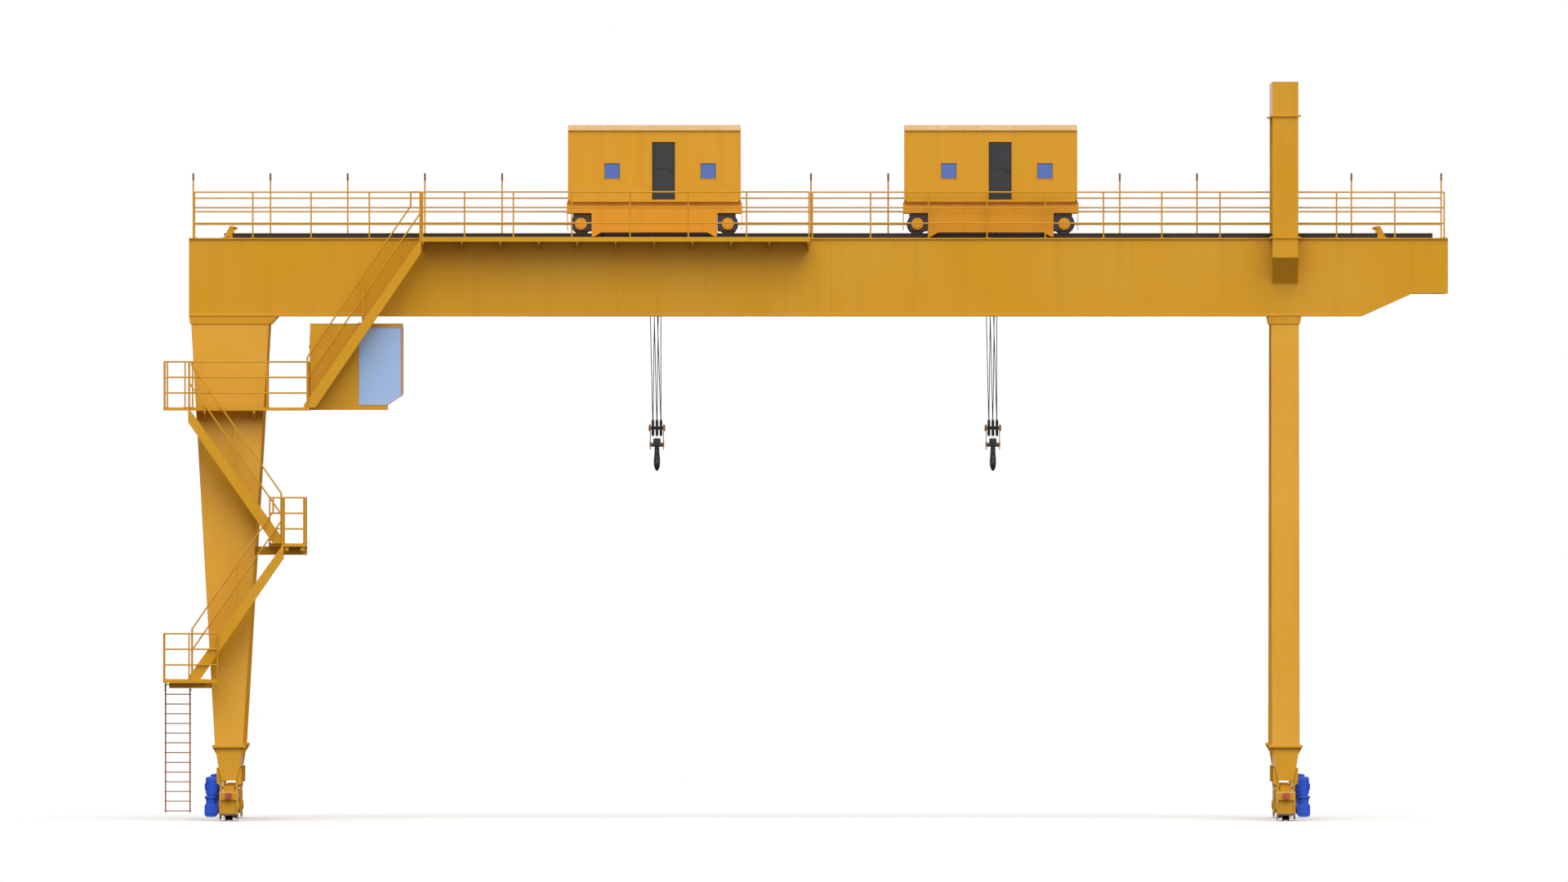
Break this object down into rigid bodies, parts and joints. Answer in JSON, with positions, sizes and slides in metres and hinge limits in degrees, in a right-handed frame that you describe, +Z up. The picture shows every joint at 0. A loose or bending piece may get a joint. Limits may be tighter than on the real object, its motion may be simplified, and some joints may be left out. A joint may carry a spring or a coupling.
{
  "type": "double girder gantry crane",
  "caption": "Rail-mounted double box girder gantry crane with A-spread legs, a portal over one leg pair, roofed hoist trolleys, a hanging cab, stairs and railings.",
  "frame": {"origin": "on the ground, midway between the two rows of travel wheels and midway between the two girders", "axes": "+X along the girders towards the portal end, +Y across them towards the rear girder, away from the stair side, +Z up"},
  "size_m": [36.49, 11.2, 20.98],
  "materials": {
    "crane_paint": "satin weathered enamel",
    "house_paint": "satin enamel on sheet",
    "tread_paint": "worn satin enamel",
    "ladder_paint": "worn satin enamel",
    "dark_steel": "dark oiled steel",
    "machined_steel": "greased steel",
    "forged_hook": "forged, dark",
    "red_buffer": "matte",
    "blue_enamel": "gloss enamel",
    "window_glass": "tinted glass",
    "door_paint": "satin dark grey"
  },
  "bodies": {
    "crane": {"girder_front": "crane_paint", "girder_rear": "crane_paint", "end_ties": "crane_paint", "crane_rails": "dark_steel", "rail_stops": "crane_paint", "buffers": "red_buffer", "legs_left": "crane_paint", "legs_right": "crane_paint", "sill_beams": "crane_paint", "bogies": "crane_paint", "travel_wheels": "dark_steel", "travel_drives": "blue_enamel", "portal_columns": "crane_paint", "portal_beam": "crane_paint", "railing_front": "crane_paint", "railing_rear": "crane_paint", "walkway": "crane_paint", "walkway_railing": "crane_paint", "access_railings": "crane_paint", "top_stair_sides": "crane_paint", "top_stair_treads": "tread_paint", "upper_flight_sides": "crane_paint", "upper_flight_treads": "tread_paint", "lower_flight_sides": "crane_paint", "lower_flight_treads": "tread_paint", "cab_platform": "crane_paint", "landing": "crane_paint", "ladder_platform": "crane_paint", "ladder": "ladder_paint", "cab_shell": "crane_paint", "cab_glass": "window_glass", "cab_door": "door_paint"},
    "trolley_left": {"side_beams_left": "crane_paint", "axle_boxes_left": "dark_steel", "cross_beams_left": "crane_paint", "house_walls_left": "house_paint", "house_roof_left": "house_paint", "house_door_left": "door_paint", "house_glass_left": "window_glass", "rope_drum_left": "machined_steel", "ropes_left": "dark_steel"},
    "wheelset_left_a": {"wheelset_left_a": "dark_steel"},
    "wheelset_left_b": {"wheelset_left_b": "dark_steel"},
    "hook_left": {"hook_block_left": "crane_paint", "hook_left": "forged_hook"},
    "trolley_right": {"side_beams_right": "crane_paint", "axle_boxes_right": "dark_steel", "cross_beams_right": "crane_paint", "house_walls_right": "house_paint", "house_roof_right": "house_paint", "house_door_right": "door_paint", "house_glass_right": "window_glass", "rope_drum_right": "machined_steel", "ropes_right": "dark_steel"},
    "wheelset_right_a": {"wheelset_right_a": "dark_steel"},
    "wheelset_right_b": {"wheelset_right_b": "dark_steel"},
    "hook_right": {"hook_block_right": "crane_paint", "hook_right": "forged_hook"}
  },
  "joints": [
    {"name": "trolley_left_travel", "type": "slide", "parent": "crane", "child": "trolley_left", "axis": [1, 0, 0], "range_m": [-9.41, 2.28]},
    {"name": "hoist_left", "type": "slide", "parent": "trolley_left", "child": "hook_left", "axis": [0, 0, 1], "range_m": [-7.84, 4.4], "deforming": ["ropes_left"]},
    {"name": "wheelset_left_a_spin", "type": "hinge", "parent": "trolley_left", "child": "wheelset_left_a", "pos_m": [-5.022, 0, 16.9535], "axis": [0, 1, 0], "continuous": true},
    {"name": "wheelset_left_b_spin", "type": "hinge", "parent": "trolley_left", "child": "wheelset_left_b", "pos_m": [-0.842, 0, 16.9535], "axis": [0, 1, 0], "continuous": true},
    {"name": "trolley_right_travel", "type": "slide", "parent": "crane", "child": "trolley_right", "axis": [1, 0, 0], "range_m": [-2.28, 8.41]},
    {"name": "hoist_right", "type": "slide", "parent": "trolley_right", "child": "hook_right", "axis": [0, 0, 1], "range_m": [-7.84, 4.4], "deforming": ["ropes_right"]},
    {"name": "wheelset_right_a_spin", "type": "hinge", "parent": "trolley_right", "child": "wheelset_right_a", "pos_m": [4.55, 0, 16.9535], "axis": [0, 1, 0], "continuous": true},
    {"name": "wheelset_right_b_spin", "type": "hinge", "parent": "trolley_right", "child": "wheelset_right_b", "pos_m": [8.73, 0, 16.9535], "axis": [0, 1, 0], "continuous": true}
  ],
  "couplings": [
    {"joint": "wheelset_left_a_spin", "follows": "trolley_left_travel", "rad_per_m": 3.7313},
    {"joint": "wheelset_left_b_spin", "follows": "trolley_left_travel", "rad_per_m": 3.7313},
    {"joint": "wheelset_right_a_spin", "follows": "trolley_right_travel", "rad_per_m": 3.7313},
    {"joint": "wheelset_right_b_spin", "follows": "trolley_right_travel", "rad_per_m": 3.7313}
  ]
}
